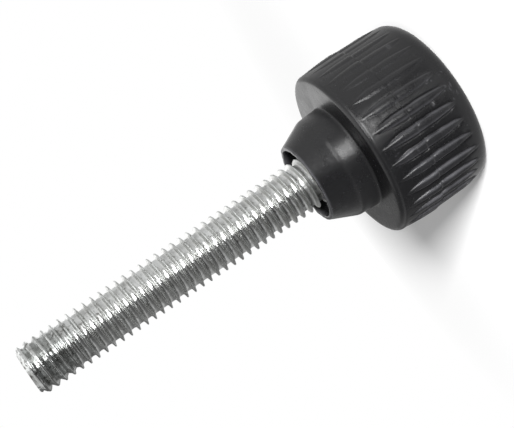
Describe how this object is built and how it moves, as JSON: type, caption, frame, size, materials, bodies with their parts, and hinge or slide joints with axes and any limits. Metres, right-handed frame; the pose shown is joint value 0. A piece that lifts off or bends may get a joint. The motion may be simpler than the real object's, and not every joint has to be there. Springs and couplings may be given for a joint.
{
  "type": "threaded knob",
  "caption": "Round ribbed hand knob of black moulded plastic with a tapered hollow collar and a zinc-plated threaded stud, for clamping or adjusting by hand.",
  "frame": {"origin": "centre of the flat end of the grip, on which the knob stands", "axes": "+Z along the screw, from the flat end of the grip to the tip of the thread; +X passes through the middle of one rib"},
  "size_m": [0.0202, 0.0202, 0.0523],
  "materials": {
    "black_plastic": "moulded, satin, lightly scuffed",
    "zinc_plated_steel": "bright zinc plate on a rolled thread"
  },
  "bodies": {
    "root": {"moulded_grip": "black_plastic", "threaded_stud": "zinc_plated_steel"}
  },
  "joints": []
}
